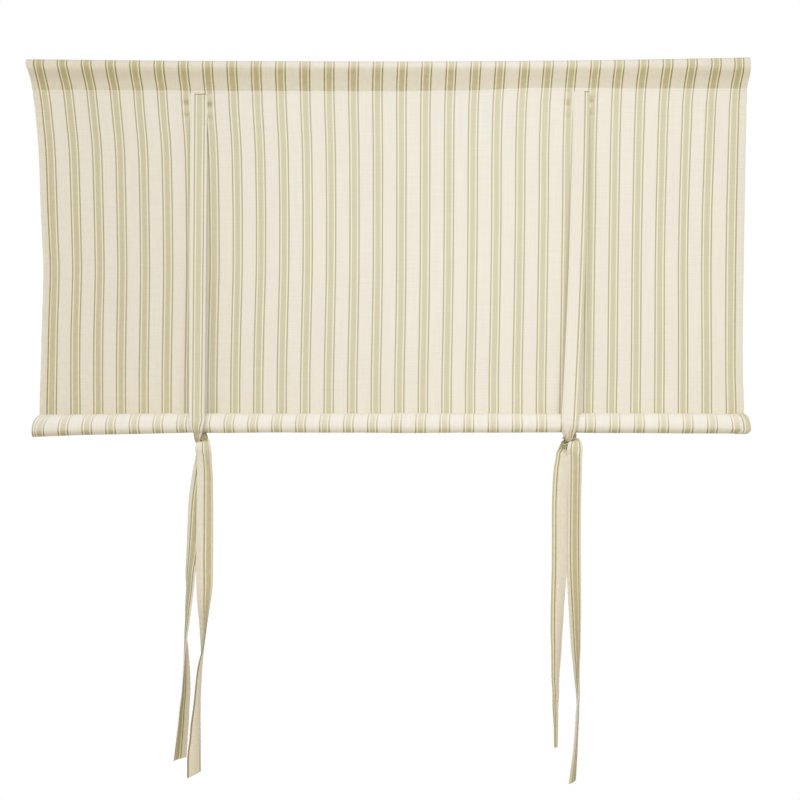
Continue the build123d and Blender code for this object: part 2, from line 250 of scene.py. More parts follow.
# painted shade around the roll: darker under it, and below zero a painted highlight over its top; hidden
# inner turns get 0.3
dim_degrees = [90, 135, 148, 165, 200, 240, 300]  # from the roll's back under it and over its top
roll_dims = [0.85, 0.65, 0.20, 0.0, -0.25, -0.55, -0.55]
for index in range(half_turns):
    radius = outer_turn - index * turn_pitch / 2
    middle = -outer_turn - (turn_pitch / 2 if index % 2 else 0)
    steps = 15 if index < 2 else 8
    for step in range(steps):
        degrees = -180 * step / steps - (180 if index % 2 else 0)
        y = middle + radius * math.cos(math.radians(degrees))
        z = roll_z + radius * math.sin(math.radians(degrees))
        depth = (index + step / steps) / half_turns
        dim = np.interp(-degrees, dim_degrees, roll_dims) if index < 2 else 0.3
        rows.append((y, z, depth, degrees, dim, index == 0 or index == 1 and step <= 8))
row_y, row_z = np.array([r[0] for r in rows]), np.array([r[1] for r in rows])
row_depth = np.array([r[2] for r in rows])
row_length = np.concatenate([[0], np.cumsum(np.hypot(np.diff(row_y), np.diff(row_z)))])
rolled = np.array([r[3] is not None for r in rows])
row_degrees = np.array([r[3] if r[3] is not None else 0.0 for r in rows])
along_y, along_z = np.gradient(row_y), np.gradient(row_z)
along_length = np.hypot(along_y, along_z)
reverse_y, reverse_z = -along_z / along_length, along_y / along_length

# where the left and the right ties are sewn on, lie on the roll and are knotted, and beside their tops
# the middle of each row of puckers and the height that it starts from
tie_tops, strap_feet, knot_places = (-0.3141, 0.3211), (-0.3140, 0.2990), (-0.3135, 0.2965)
puckers = ((-0.3350, -0.0646), (-0.2965, -0.0677), (0.2985, -0.0664), (0.3370, -0.0613))
pucker_z, pucker_pitch = -0.062, 0.0216
left_columns = np.concatenate([
    [-half_width, -0.5948, -0.589, -0.5853, -0.5825], np.linspace(-0.579, -0.36, 21)[:-1],
    np.linspace(-0.36, -0.272, 33)[:-1], np.linspace(-0.272, 0.0, 26),
])
columns = np.concatenate([left_columns, -left_columns[-2::-1]])

# how far the pocket's seam runs above its mean height, at places across the cloth
seam_places = [-0.578, -0.379, -0.262, 0.020, 0.136, 0.186, 0.228, 0.320, 0.420, 0.580]
seam_lift = [0.0012, 0.0003, -0.0008, -0.0010, 0.0, 0.0020, 0.0042, 0.0044, 0.0035, 0.0035]

# how far the cloth has drifted sideways from its flat place, in millimetres: at ten places across it,
# for heights down the pocket and the panel, and for degrees from the roll's back under it and over its top
drift_places = [-0.600, -0.585, -0.540, -0.420, -0.220, 0.020, 0.220, 0.380, 0.540, 0.600]
drift_heights = [-0.570, -0.554, -0.510, -0.435, -0.335, -0.236, -0.136, -0.063, -0.030, -0.016, 0.005, 0.015]
panel_drift = np.array([
    [22.1, 22.0, 21.8, 14.9, 4.7, -0.9, -4.9, -8.2, -10.4, -9.6],
    [22.1, 22.0, 21.8, 14.9, 4.7, -0.9, -4.9, -8.2, -10.4, -9.6],
    [23.8, 23.1, 21.1, 14.5, 5.0, -0.7, -4.7, -7.0, -10.5, -12.1],
    [25.4, 24.3, 21.1, 15.8, 6.5, 1.1, -3.0, -6.4, -10.9, -12.1],
    [28.8, 27.7, 24.3, 17.1, 9.5, 2.4, -1.4, -5.4, -11.5, -10.4],
    [23.8, 23.3, 21.8, 15.9, 9.7, 2.5, 0.1, -3.9, -10.2, -8.8],
    [20.5, 20.1, 18.8, 13.8, 8.0, 2.9, 0.1, -2.7, -6.5, -7.1],
    [13.8, 13.3, 11.7, 7.3, 3.9, 2.6, 2.4, -0.6, -3.3, -5.4],
    [8.5, 8.3, 7.9, 5.1, 2.7, 2.8, 5.3, 1.1, 0.3, -3.4],
    [7.4, 5.6, 4.7, 2.3, 2.0, 3.5, 5.8, 1.9, 1.8, 0.0],
    [-1.0, 2.1, 0.5, 0.8, 2.3, 4.7, 7.4, 4.0, 4.8, 0.9],
    [2.7, 2.1, 0.5, 0.8, 2.3, 4.7, 7.4, 4.0, 4.8, 0.9],
])
drift_turns = [0, 90, 112, 140, 180, 215, 262, 400]
roll_drift = np.array([
    [22.1, 22.0, 21.8, 14.9, 4.7, -0.9, -4.9, -8.2, -10.4, -9.6],
    [13.8, 5.4, 5.6, 3.3, -2.2, -5.8, -6.8, -6.5, -5.8, -13.0],
    [13.8, 5.4, 5.6, 3.3, -2.2, -5.8, -6.8, -6.5, -5.8, -7.0],
    [13.8, 5.4, 5.6, 3.3, -2.2, -5.8, -6.8, -6.5, -5.8, -3.2],
    [15.4, 7.0, 6.7, 3.2, -2.2, -6.1, -6.8, -6.4, -6.3, -5.0],
    [18.6, 13.6, 9.4, 4.3, -0.8, -5.0, -7.2, -6.2, -6.5, -7.4],
    [27.6, 22.5, 15.4, 6.4, 1.9, -3.9, -6.9, -6.0, -7.0, -13.0],
    [21.6, 19.0, 11.3, 5.0, 0.0, -5.0, -7.0, -6.0, -6.5, -10.0],
])
row_drift = np.stack([np.interp(row_z, drift_heights, drift) for drift in panel_drift.T], axis=1)
row_drift = np.stack([np.convolve(np.pad(drift, 2, mode="edge"), np.ones(5) / 5, mode="valid")
                      for drift in row_drift.T], axis=1)
for row, degrees in enumerate(row_degrees):
    if rolled[row]:
        row_drift[row] = [np.interp(-degrees, drift_turns, drift) for drift in roll_drift.T]
row_drift /= 1000


def cloth_points(across, rows_used, behind=0.0):
    """The cloth's middle layer at flat places across it, for some of its rows, or a layer behind that."""
    x = np.array([flat + np.interp(flat, drift_places, drift) for flat, drift in
                  zip(np.broadcast_to(across, (len(rows_used), across.shape[1])), row_drift[rows_used])])
    y = np.repeat(row_y[rows_used, None], x.shape[1], axis=1)
    z = np.repeat(row_z[rows_used, None], x.shape[1], axis=1)
    flat_part = (~rolled & (np.arange(len(rows)) >= pocket_rows))[rows_used, None]
    fall = np.clip((seam_z - z) / 0.06, 0, 1) * np.clip((z - roll_z - 0.03) / 0.05, 0, 1) * flat_part
    # broad slack waves of a cloth that hangs nearly flat, pressed flat where the ties lie on it
    waves = 0.0012 * np.sin(x * 9.5 + z * 3.0 + 0.6) + 0.0006 * np.sin(x * 24.0 - z * 7.0)
    waves += 0.0004 * np.sin(z * 21 + x * 3)
    for top, foot in zip(tie_tops, strap_feet):
        strap = top + (foot - top) * np.clip((seam_z - z) / (seam_z - roll_z), 0, 1)
        waves *= 1 - np.exp(-((x - strap) / 0.030) ** 2)
    y += fall * waves
    # short puckers beside the tops of the ties, where the sewing draws the cloth together
    for middle, start in puckers:
        aside = np.exp(-((x - middle) / 0.0065) ** 2)
        depth = np.exp(-((z - pucker_z) / 0.024) ** 2) * np.clip((seam_z - z) / 0.008, 0, 1)
        y += 0.0026 * np.sin((z - start) * 2 * math.pi / pucker_pitch) * aside * depth * flat_part
    # and along the stitched side hems
    hemmed = np.clip((np.abs(across) - half_width + 0.018) / 0.016, 0, 1) * flat_part
    y += 0.0007 * np.sin(z * 2 * math.pi / 0.0125 + 2.0 * np.sin(z * 31)) * hemmed
    # the pocket stands up a little over the ends of the rod, and its seam runs uneven
    stand = np.where(x > 0, 0.0066, 0.0037) * (x / half_width) ** 2 * np.clip(z / 0.010, 0, 1)
    z += stand * (np.arange(len(rows)) < pocket_rows)[rows_used, None]
    near_seam = np.interp(row_z, [-0.14, -0.05, -0.03, -0.004], [0, 1, 1, 0])[rows_used, None]
    z += np.interp(x, seam_places, seam_lift) * near_seam
    # the outer turns of the roll hang looser towards its ends
    loose = rolled[rows_used, None] * (1 - row_depth[rows_used, None])
    under = (0.3 + 0.35 * (1 - np.sin(np.radians(row_degrees))))[rows_used, None]
    left_end, right_end = np.clip((-x - 0.33) / 0.27, 0, 1), np.clip((x - 0.33) / 0.27, 0, 1)
    z -= loose * under * (0.0075 * left_end ** 1.2 + 0.0022 * right_end ** 1.5)
    swell = loose * (0.00035 * np.sin(x * 17 + 1.0) + 0.0002 * np.sin(x * 41))
    for knot in knot_places:
        swell -= loose * 0.0006 * np.exp(-((x - knot) / 0.016) ** 2)
    y += reverse_y[rows_used, None] * (swell + behind)
    z += reverse_z[rows_used, None] * (swell + behind)
    return np.stack([x, y, z], axis=-1)


def grid_faces(row_count, column_count, first=0):
    """Four-cornered faces over a grid of points that is numbered row by row."""
    corner = np.arange(row_count * column_count).reshape(row_count, column_count) + first
    around = [corner[:-1, :-1], corner[1:, :-1], corner[1:, 1:], corner[:-1, 1:]]
    return np.stack(around, axis=-1).reshape(-1, 4)


every_row = np.arange(len(rows))
points = cloth_points(columns[None, :], every_row)
flat_x = np.repeat(columns[None, :], len(rows), axis=0)
flat_y = np.repeat(row_length[:, None], len(columns), axis=1)
verts = [points.reshape(-1, 3)]
# on the roll the left edge has turned over far enough to show the next dark line of the stripes
edge_x = np.interp(flat_x, [-0.6, -0.5948, -0.589, -0.5853, -0.5825, -0.568],
                   [-0.6133, -0.6112, -0.5888, -0.5867, -0.5842, -0.568])
stripe_x = np.where(rolled[:, None] & (flat_x < -0.568), edge_x, flat_x)
cloth_uv = [np.stack([stripe_x, flat_y], axis=-1).reshape(-1, 2)]
# painted shade, darker towards the left and the foot, as if less daylight came through the cloth there, and a
# painted highlight over the top of the pocket's middle
painted_shade = np.repeat(np.array([r[4] for r in rows])[:, None], len(columns), axis=1)
height = row_z[:, None]
hanging = (~rolled & (every_row >= pocket_rows))[:, None]
shade = np.interp(flat_x, [-0.6, -0.45, -0.15, 0.15, 0.45, 0.6], [0.46, 0.38, 0.10, 0.0, 0.12, 0.20])
shade = shade + 0.14 * np.clip((-0.1 - height) / 0.45, 0, 1)
painted_shade = np.where(hanging, shade, painted_shade)
in_pocket = (every_row < pocket_rows)[:, None]
daylight = np.interp(flat_x, [-0.6, -0.45, -0.1, 0.2, 0.5, 0.6], [0.44, 0.26, -0.34, -0.44, 0.10, 0.24])
lower = np.interp(flat_x, [-0.6, -0.45, -0.25, 0.0, 0.35, 0.5, 0.6],
                  [0.12, 0.10, 0.06, -0.08, -0.10, 0.08, 0.10])
over_rod = np.clip((height + 0.007) / 0.011, 0, 1)
painted_shade = np.where(in_pocket, painted_shade + over_rod * daylight + (1 - over_rod) * lower, painted_shade)
# painted shade low on the roll's outer turns, growing towards its ends
low_ends = rolled[:, None] & (row_depth[:, None] < 0.1) & (height < roll_z - 0.008)
painted_shade = np.where(low_ends, painted_shade + 0.30 * (np.abs(flat_x) / half_width) ** 2, painted_shade)
# painted shadow in the puckers, and a painted highlight on the panel just right of each strap's foot
for middle, start in puckers:
    crease = np.exp(-((points[..., 0] - middle) / 0.0045) ** 2) * np.exp(-((height - pucker_z) / 0.020) ** 2)
    crease = crease * np.clip(np.sin((points[..., 2] - start) * 2 * math.pi / pucker_pitch - 0.6), 0, 1)
    painted_shade = np.where(hanging, painted_shade + 0.85 * crease, painted_shade)
for foot in strap_feet:
    beside = np.exp(-((points[..., 0] - foot - 0.017) / 0.007) ** 2) * np.clip((-0.38 - height) / 0.14, 0, 1)
    painted_shade = np.where(hanging, painted_shade - 0.42 * beside, painted_shade)
# painted shade over the side hems, where two layers let less light through
in_hem = (np.abs(flat_x) > half_width - 0.0152) & hanging
painted_shade = np.where(in_hem, painted_shade + 0.25, painted_shade)
painted_shades = [painted_shade.reshape(-1)]
faces = [grid_faces(len(rows), len(columns))]
# the turned side hems lie on the reverse: a tight fold at the edge, then 15 mm of cloth
hem_rows = np.array([i for i, r in enumerate(rows) if r[5]])
hem_out = np.array([0.0, 0.0003, 0.00045, 0.0003, 0.0, -0.005, -0.010, -0.015])
hem_behind = np.array([0.0, 0.00013, 0.00045, 0.00077, 0.0009, 0.0009, 0.0009, 0.0009])
hem_flat = np.array([0.0, 0.0003, 0.0007, 0.0011, 0.0014, 0.0064, 0.0114, 0.0164])
for edge in (-1, 1):
    # at the left the hem is curled under on the roll, at the right it shows a band of the stripes there
    used = hem_rows[~rolled[hem_rows]] if edge < 0 else hem_rows
    hem = cloth_points(edge * (half_width + hem_out[None, :]), used, hem_behind[None, :])
    hem_u = edge * (half_width + hem_flat)[None, :] + np.where(rolled[used], 0.0155, 0.0)[:, None]
    hem_uv = np.stack([hem_u, np.repeat(row_length[used, None], len(hem_out), axis=1)], axis=-1)
    hem_faces = grid_faces(len(used), len(hem_out), sum(len(v) for v in verts))
    faces.append(hem_faces if edge > 0 else hem_faces[:, ::-1])
    verts.append(hem.reshape(-1, 3))
    cloth_uv.append(hem_uv.reshape(-1, 2))
    # painted shade on the turned hems, less on the roll
    painted_shades.append(np.where(rolled[used], 0.2, 0.5)[:, None].repeat(len(hem_out), axis=1).reshape(-1))
verts, cloth_uv, painted_shades, faces = (np.concatenate(lists) for lists in (verts, cloth_uv, painted_shades, faces))


def cloth_object(name, verts, faces, corner_uv, painted_shade, thickness=None):
    """A cloth piece with its flat UV map and its painted shade mask: a middle layer that gets its thickness
    both ways, or, with no thickness given, a skin that is closed already."""
    mesh = bpy.data.meshes.new(name)
    mesh.from_pydata(verts.tolist(), [], [list(face) for face in faces])
    layer = mesh.uv_layers.new(name="cloth")
    layer.uv.foreach_set("vector", corner_uv.astype(np.float32).reshape(-1))
    mask = mesh.attributes.new("painted_shade", "FLOAT", "POINT")
    mask.data.foreach_set("value", painted_shade.astype(np.float32))
    piece = bpy.data.objects.new(name, mesh)
    bpy.context.scene.collection.objects.link(piece)
    piece.data.materials.append(cotton)
    bpy.ops.object.select_all(action="DESELECT")
    piece.select_set(True)
    bpy.context.view_layer.objects.active = piece
    bpy.ops.object.mode_set(mode="EDIT")
    bpy.ops.mesh.select_all(action="SELECT")
    bpy.ops.mesh.remove_doubles(threshold=0.00001)
    bpy.ops.mesh.normals_make_consistent(inside=False)
    bpy.ops.object.mode_set(mode="OBJECT")
    if thickness:
        solid = piece.modifiers.new("thickness", "SOLIDIFY")
        solid.thickness = thickness
        solid.offset = 0.0
        bpy.ops.object.modifier_apply(modifier="thickness")
    bpy.ops.object.shade_smooth_by_angle(angle=math.radians(50))
    return piece


striped_cloth = cloth_object("striped_cloth", verts, faces, cloth_uv[faces], painted_shades, 2 * cloth_half)
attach(striped_cloth, "root")
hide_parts("blind_cloth")


# The ties: four flat strips of the same cotton, folded double and stitched along one edge.
# One of each pair is sewn to the front and one to the back below the pocket. The back one turns
# once round the front one under the roll and comes out over the top, and both tails hang.
tie_width, tie_thickness = 0.0275, 0.0012
tie_top_z = turned_edge_z
tie_seat = 0.0010  # from the cloth's middle to the tie's
sewn_length = 0.010
strap_pleat, turn_pleat, tail_pleat = 0.0012, 0.0006, 0.0009
roll_y = -outer_turn
roll_radius = outer_turn + cloth_half
wrap_radius = roll_radius + tie_seat
knot_drop = 0.012
knot_y, knot_z = roll_y - 0.0022, roll_z - roll_radius - knot_drop
knot_radius = 0.0052
front_tail_y, back_tail_y = knot_y + 0.003, knot_y - 0.010


def on_roll(x, degrees):
    """A place on the roll's outside; 0 degrees is at the back, 270 underneath."""
    angle = math.radians(degrees)
    return (x, roll_y + wrap_radius * math.cos(angle), roll_z + wrap_radius * math.sin(angle))


def strap_stations(top, foot_x, out, angles, bow, slide, dusk, narrow, gather):
    """Stations of a tie from its sewn top down to where it leaves the roll: place, width direction,
    width share, the most that its pleats may stand out, and how far it is shaded inside the knot."""
    flat = (1, 0, 0)
    seat_y = out * tie_seat
    path = []
    for down in (0.0, sewn_length / 2, sewn_length):
        path.append(((top[0], seat_y, top[1] - down), flat, 1.0, strap_pleat, 0.0))
    start, end = np.array(path[-1][0]), np.array(on_roll(foot_x, angles[0]))
    for step in np.linspace(0, 0.97, 10)[1:]:
        place = start + (end - start) * step + np.array([bow * 4 * step * (1 - step), 0.0, 0.0])
        path.append((tuple(place), flat, 1.0 - (1 - narrow) * step ** 2, strap_pleat, 0.0))
    for step in np.linspace(0, 1, 6):
        place = on_roll(foot_x + slide * step, angles[0] + (angles[1] - angles[0]) * step)
        width, shade = narrow - (narrow - gather) * step, dusk * min(1.0, 2.5 * step)
        path.append((place, flat, width, strap_pleat, shade))
    return path


def front_stations(pair):
    """A front tie down to its tail: gathered to a neck inside the other tie's turn, and turned over there."""
    top = (pair["top"], tie_top_z + pair["lift"])
    reach = (roll_y + tie_seat, roll_z - top[1] + sewn_length)
    touch = math.degrees(math.atan2(-reach[1], -reach[0]) + math.acos(wrap_radius / math.hypot(*reach)))
    path = strap_stations(
        top, pair["foot"], -1, (touch, 222), pair["bow"], pair["slide"], 0.28, *pair["narrow"])
    for rise, behind, aside, width, turned, shade in pair["neck"]:
        angle = math.radians(turned * pair["over"])
        path.append(((pair["knot"] + aside, knot_y + behind * knot_radius, knot_z + rise * knot_drop),
                     (math.cos(angle), math.sin(angle), 0.0), width, pair["bunch"], shade))
    return path


# the back tie's turn: degrees around the neck, rise as a share of the knot's drop, distance out as a share
# of its radius, width share and lean of the width in degrees
turn_stations = (
    (222, 0.55, 1.3, 0.55, -25), (258, 0.10, 1.8, 0.52, -55), (300, -0.28, 1.3, 0.32, -82),
    (345, -0.42, 1.0, 0.24, -90), (390, -0.45, 0.85, 0.24, -90), (435, -0.36, 0.82, 0.24, -90),
    (480, -0.15, 0.85, 0.24, -90), (525, 0.12, 0.9, 0.24, -92), (565, 0.30, 1.05, 0.26, -105),
    (605, 0.42, 1.4, 0.34, -130), (645, 0.45, 1.9, 0.50, -160), (668, 0.28, 2.4, 0.70, -172),
    (680, -0.1, 2.8, 0.83, -178),
)


def back_stations(pair):
    """A back tie down to its tail: from behind by the right and the front round the neck, and out on top."""
    foot_x, dusk = pair["knot"] + pair["behind"], pair["crease_shadowed"][0]
    path = strap_stations((pair["top"], tie_top_z), foot_x, 1, (0, -72), 0.0, 0.0, dusk, 1.0, 0.42)
    for degrees, rise, out, width, lean in turn_stations:
        angle, leaning = math.radians(degrees), math.radians(lean)
        lap = 0 if degrees < 280 else 1 if degrees < 600 else 2
        spread = pair["aside"][lap]
        dip = pair["dip"][lap] * min(1.0, (degrees - 222) / 80)
        path.append(((pair["knot"] + spread - out * knot_radius * math.sin(angle),
                      knot_y - out * knot_radius * math.cos(angle), knot_z + (rise - dip) * knot_drop),
                     (math.cos(leaning), 0.0, math.sin(leaning)), width, turn_pleat,
                     np.interp(degrees, [280, 345, 565, 640, 672], [*pair["crease_shadowed"], 0.0])))
    return path


def tail_stations(knot_x, tail_y, length, over, shares):
    """A hanging tail: share of its length, drift as a share of the width, and twist in degrees."""
    path = []
    for down, drift, twist in shares:
        angle = math.radians(over - twist)
        path.append(((knot_x + drift * tie_width, tail_y, knot_z - down * length),
                     (math.cos(angle), math.sin(angle), 0.0), 1.0, tail_pleat, 0.0))
    return path


def smooth_stations(path):
    """Places, width directions, width shares, pleats and shades along a smooth line through the stations."""
    data = np.array([list(place) + list(direction) + rest for place, direction, *rest in path])
    step = np.linalg.norm(np.diff(data[:, :3], axis=0), axis=1)
    mark = np.concatenate([[0], np.cumsum(step)])
    slope = np.gradient(data, mark, axis=0)
    out = []
    for i in range(len(path) - 1):
        spacing = 0.0012 if step[i] < 0.025 else 0.003
        for t in np.linspace(0, 1, max(2, int(math.ceil(step[i] / spacing))), endpoint=False):
            h00, h10 = 2 * t ** 3 - 3 * t ** 2 + 1, t ** 3 - 2 * t ** 2 + t
            h01, h11 = -2 * t ** 3 + 3 * t ** 2, t ** 3 - t ** 2
            out.append(h00 * data[i] + h10 * step[i] * slope[i]
                       + h01 * data[i + 1] + h11 * step[i] * slope[i + 1])
    out.append(data[-1])
    out = np.array(out)
    return out[:, :3], out[:, 3:6], np.clip(out[:, 6], 0.2, 1.0), *np.clip(out[:, 7:], 0.0, 1.0).T


curl_depths = [0.02, 0.05, 0.22, 0.33, 0.45, 0.55]  # below the knot
curl_heights = [0.0, 0.0018, 0.0018, 0.0034, 0.0036, 0.0020]
crimp_height, crimp_pitch = 0.0002, 0.0087
aslant_length = 0.020


def sewn_tie(name, path, outward, cut, slip, facing_stripe, other_stripe):
    """One tie, closed: two layers that meet in a fold and a stitched edge, pleated where it is gathered.
    Outward is the side that its pleats stand out on, cut how far its end is cut aslant, and slip how far its
    stripes shift where it is gathered. Each stripe is the flat place of a layer's middle in the striped cloth
    and the way it runs. Returns the tie and what its stitches need."""
    middle, direction, width, pleat, shade = smooth_stations(path)
    travel = np.gradient(middle, axis=0)
    travel /= np.linalg.norm(travel, axis=1)[:, None]
    direction = direction - travel * np.sum(direction * travel, axis=1)[:, None]
    direction /= np.linalg.norm(direction, axis=1)[:, None]
    facing = np.cross(direction, travel)
    length = np.concatenate([[0], np.cumsum(np.linalg.norm(np.diff(middle, axis=0), axis=1))])
    across = np.linspace(-0.5, 0.5, 21)
    pleat = np.minimum(np.sqrt(np.clip(1 - width ** 2, 0, 1)) * tie_width / 8, pleat)
    crest = 1 + np.cos(4 * math.pi * (across[None, :] + 0.06 * np.sin(length * 70.0)[:, None]))
    # small crimps across the hanging lengths, which curl a little along their edges
    crimp = crimp_height * np.sin(length * 2 * math.pi / crimp_pitch + 1.7 * np.sin(length * 37.0))[:, None]
    crimp = crimp * (0.6 + 0.8 * across[None, :] ** 2) * np.clip((width[:, None] - 0.9) * 10, 0, 1)
    depth = knot_z - middle[:, 2]
    curl = np.interp(depth, curl_depths, curl_heights)[:, None] * (4 * across[None, :] ** 2 - 0.6)
    lift = outward * pleat[:, None] * crest + crimp + curl
    widthwise = direction[:, None, :] * (tie_width * width)[:, None, None]
    surface = middle[:, None, :] + widthwise * across[None, :, None]
    surface = surface + facing[:, None, :] * lift[:, :, None]
    aslant = cut * np.clip(1 - (length[-1] - length) / aslant_length, 0, 1)[:, None] * across[None, :]
    surface = surface + travel[:, None, :] * aslant[:, :, None]
    half = tie_thickness / 2 * (0.55 + 0.45 * np.clip((width - 0.25) / 0.5, 0, 1))
    near = surface + facing[:, None, :] * half[:, None, None]
    far = surface - facing[:, None, :] * half[:, None, None]
    rounding = direction * (0.6 * half)[:, None]
    ring = np.concatenate([near, (surface[:, -1] + rounding)[:, None],
                           far[:, ::-1], (surface[:, 0] - rounding)[:, None]], axis=1)
    near_u = facing_stripe[0] + facing_stripe[1] * tie_width * across
    far_u = other_stripe[0] + other_stripe[1] * tie_width * across
    # the flat place at each corner of each strip around the ring: two layers and two edges
    start_u = np.concatenate([near_u, [near_u[-1]], far_u[::-1], [far_u[0]]])
    end_u = np.concatenate([near_u[1:], [near_u[-1]], [far_u[-1]], far_u[::-1][1:], [far_u[0]], [near_u[0]]])
    around, count, last = ring.shape[1], len(middle), len(across) - 1
    corner = np.arange(count * around).reshape(count, around)
    following = np.roll(corner, -1, axis=1)
    quads = np.stack([corner[:-1], following[:-1], following[1:], corner[1:]], axis=-1)
    faces = quads.reshape(-1, 4).tolist()
    shift = slip * (1 - width)
    u = np.stack([start_u, end_u, end_u, start_u], axis=-1)[None].repeat(count - 1, axis=0)
    u = u + np.stack([shift[:-1], shift[:-1], shift[1:], shift[1:]], axis=-1)[:, None]
    v = np.stack([length[:-1], length[:-1], length[1:], length[1:]], axis=-1)[:, None].repeat(around, axis=1)
    uv = [np.stack([u, v], axis=-1).reshape(-1, 2)]
    # both ends are closed between the layers
    caps = [(j, j + 1, 2 * last + 1 - j, 2 * last + 2 - j) for j in range(last)]
    caps += [(last, last + 1, last + 2), (0, 2 * last + 3, 2 * last + 2)]
    for row in (0, count - 1):
        for cap in caps:
            faces.append([int(corner[row, k]) for k in cap])
            uv.append(np.array([[start_u[k], length[row]] for k in cap]))
    # painted shade on the ties: a base for their two layers, the stations' knot shade, and darker down the
    # tails
    dim = 0.22 + shade + np.interp(depth, [0.0, 0.03, 0.2, 0.4, 0.55], [0.0, 0.40, 0.56, 0.64, 0.90])
    tie = cloth_object(name, ring.reshape(-1, 3), faces, np.concatenate(uv), dim.repeat(around))
    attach(tie, "root")
    seam = 0.5 * (surface[:, 1] + surface[:, 2]) if outward < 0 else 0.5 * (surface[:, -2] + surface[:, -3])
    return tie, seam, facing, travel, half, length, width


# each pair has its places across the cloth: top, foot and knot. The front tie's strap is sewn on higher by
# lift, bows and slides sideways and narrows to two shares of its width. Its neck (rise, place behind, place
# aside, width share, share of the turn, painted shade) bunches into pleats, turns over by some degrees, and
# its stripes slip there. The back tie comes from behind, and its three laps lie aside, dip and get a painted
# crease shadow. Each tail has its length and stations, how far its end is cut aslant, and its stripes on the
# facing and the other side.
pairs = {
    "left": {
        "top": tie_tops[0], "lift": 0.0006, "foot": strap_feet[0], "bow": 0.0, "slide": 0.0002,
        "narrow": (0.90, 0.60), "knot": knot_places[0], "over": 0, "bunch": 0.0011, "slip": 0.010,
        "neck": ((1.1, -1.3, 0.0005, 0.54, 0, 0.45), (0.5, -0.6, -0.0006, 0.38, 0, 0.60),
                 (0.0, -0.1, -0.0004, 0.30, 0, 0.78), (-0.5, 0.2, 0.0022, 0.26, 0, 0.95),
                 (-1.1, 0.35, 0.0045, 0.30, 0, 0.78)),
        "behind": 0.0062, "aside": (0.0032, 0.0035, 0.0004), "dip": (0.55, 0.55, 0.55),
        "crease_shadowed": (1.45, 1.30, 1.60, 1.45),
        "front_tail": (0.527, (
            (0.046, 0.31, 13), (0.09, 0.165, 16), (0.184, -0.10, 18), (0.278, -0.237, 28),
            (0.372, -0.385, 41), (0.419, -0.49, 50), (0.466, -0.526, 58), (0.513, -0.613, 63),
            (0.56, -0.673, 70), (0.607, -0.733, 79), (0.654, -0.748, 92), (0.701, -0.745, 101),
            (0.748, -0.755, 109), (0.795, -0.786, 114), (0.842, -0.870, 118), (0.889, -0.932, 121),
            (0.936, -1.010, 125), (1.0, -1.12, 130))),
        "front_cut": 0.0036, "front_stripes": ((0.0150, 1), (0.0180, 1)),
        "back_tail": (0.550, (
            (0.045, 0.40, 24), (0.10, 0.455, 20), (0.176, 0.455, 12), (0.27, 0.445, 4), (0.355, 0.431, 4),
            (0.445, 0.431, 18), (0.489, 0.4, 37), (0.534, 0.395, 54), (0.579, 0.368, 66), (0.624, 0.311, 80),
            (0.669, 0.205, 94), (0.714, 0.125, 100), (0.758, 0.065, 103), (0.804, 0.008, 109),
            (0.848, -0.060, 117), (0.893, -0.10, 123), (0.938, -0.165, 133), (1.0, -0.18, 136))),
        "back_cut": -0.0080, "back_stripes": ((0.0127, -1), (0.0402, 1)),
    },
    "right": {
        "top": tie_tops[1], "lift": 0.0046, "foot": strap_feet[1], "bow": 0.0028, "slide": -0.0015,
        "narrow": (1.0, 0.82), "knot": knot_places[1], "over": -180, "bunch": 0.0022, "slip": -0.008,
        "neck": ((1.15, -1.3, 0.0006, 0.74, 0, 0.35), (0.7, -0.7, 0.0008, 0.58, 0, 0.55),
                 (0.2, -0.15, -0.0008, 0.50, 0.12, 0.90), (-0.25, 0.15, -0.0018, 0.46, 0.75, 1.05),
                 (-0.9, 0.3, -0.0050, 0.50, 0.97, 0.80)),
        "behind": 0.0080, "aside": (0.0045, -0.0040, 0.0020), "dip": (0.35, 0.35, 0.53),
        "crease_shadowed": (1.10, 1.25, 1.10, 0.30),
        "front_tail": (0.507, (
            (0.0446, -0.21, 27), (0.0935, -0.342, 30), (0.191, -0.443, 30), (0.338, -0.460, 30),
            (0.436, -0.490, 34), (0.484, -0.530, 39), (0.533, -0.572, 44), (0.582, -0.598, 48),
            (0.631, -0.625, 53), (0.68, -0.628, 59), (0.729, -0.655, 65), (0.778, -0.682, 70),
            (0.8265, -0.665, 75), (0.8755, -0.690, 79), (0.9245, -0.675, 84), (1.0, -0.675, 88))),
        "front_cut": 0.0080, "front_stripes": ((0.0345, -1), (0.0056, 1)),
        "back_tail": (0.562, (
            (0.045, 0.405, 34), (0.084, 0.393, 36), (0.172, 0.368, 39), (0.26, 0.348, 39), (0.347, 0.345, 37),
            (0.435, 0.387, 43), (0.479, 0.416, 48), (0.523, 0.445, 53), (0.567, 0.469, 58), (0.61, 0.499, 63),
            (0.655, 0.532, 73), (0.6985, 0.562, 80), (0.742, 0.592, 89), (0.786, 0.562, 98),
            (0.83, 0.536, 102), (0.874, 0.490, 105), (0.918, 0.438, 110), (0.962, 0.350, 115),
            (1.0, 0.270, 119))),
        "back_cut": -0.0040, "back_stripes": ((0.0184, -1), (0.0575, 1)),
    },
}
ties = {}
for side, pair in pairs.items():
    (front_length, front_shares), (back_length, back_shares) = pair["front_tail"], pair["back_tail"]
    front_path = front_stations(pair)
    front_path += tail_stations(pair["knot"], front_tail_y, front_length, pair["over"], front_shares)
    back_path = back_stations(pair)
    back_path += tail_stations(pair["knot"], back_tail_y, back_length, 180, back_shares)
    ties[f"{side}_front"] = sewn_tie(
        f"{side}_front_tie_strip", front_path, -1, pair["front_cut"], pair["slip"], *pair["front_stripes"])
    ties[f"{side}_back"] = sewn_tie(
        f"{side}_back_tie_strip", back_path, 1, pair["back_cut"], 0.0, *pair["back_stripes"])
